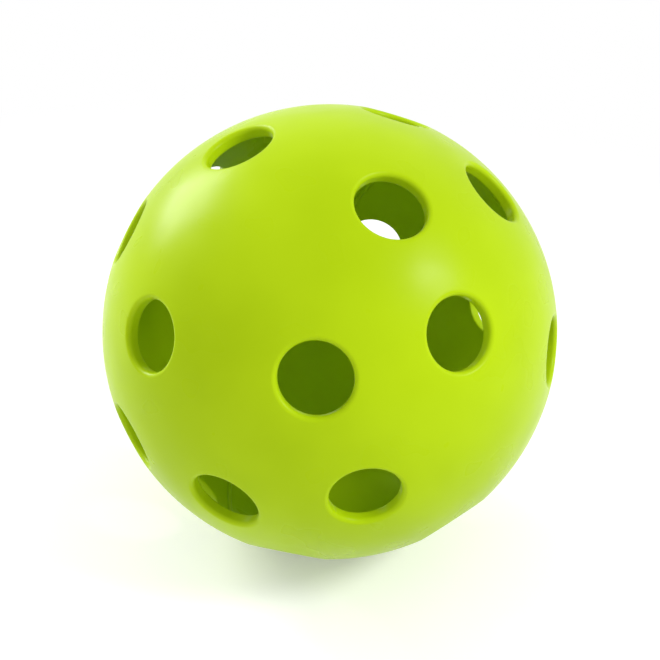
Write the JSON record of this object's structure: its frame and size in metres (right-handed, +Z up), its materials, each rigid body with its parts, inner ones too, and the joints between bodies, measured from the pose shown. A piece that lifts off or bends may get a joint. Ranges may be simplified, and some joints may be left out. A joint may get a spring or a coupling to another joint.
{
  "type": "pickleball",
  "caption": "Hollow lime plastic court ball with round-rimmed air holes all over, moulded as half shells and welded round its middle, for play with solid paddles.",
  "frame": {"origin": "centre of the ball", "axes": "+Z up as the ball lies in the picture; the mould axis, through the pole holes, leans 63 degrees from +Z towards a bearing of 210 degrees from +X"},
  "size_m": [0.074, 0.074, 0.074],
  "materials": {
    "shell": "satin moulded plastic",
    "weld": "satin re-set plastic"
  },
  "bodies": {
    "root": {"upper_half_shell": "shell", "lower_half_shell": "shell", "weld_bead": "weld"}
  },
  "joints": []
}
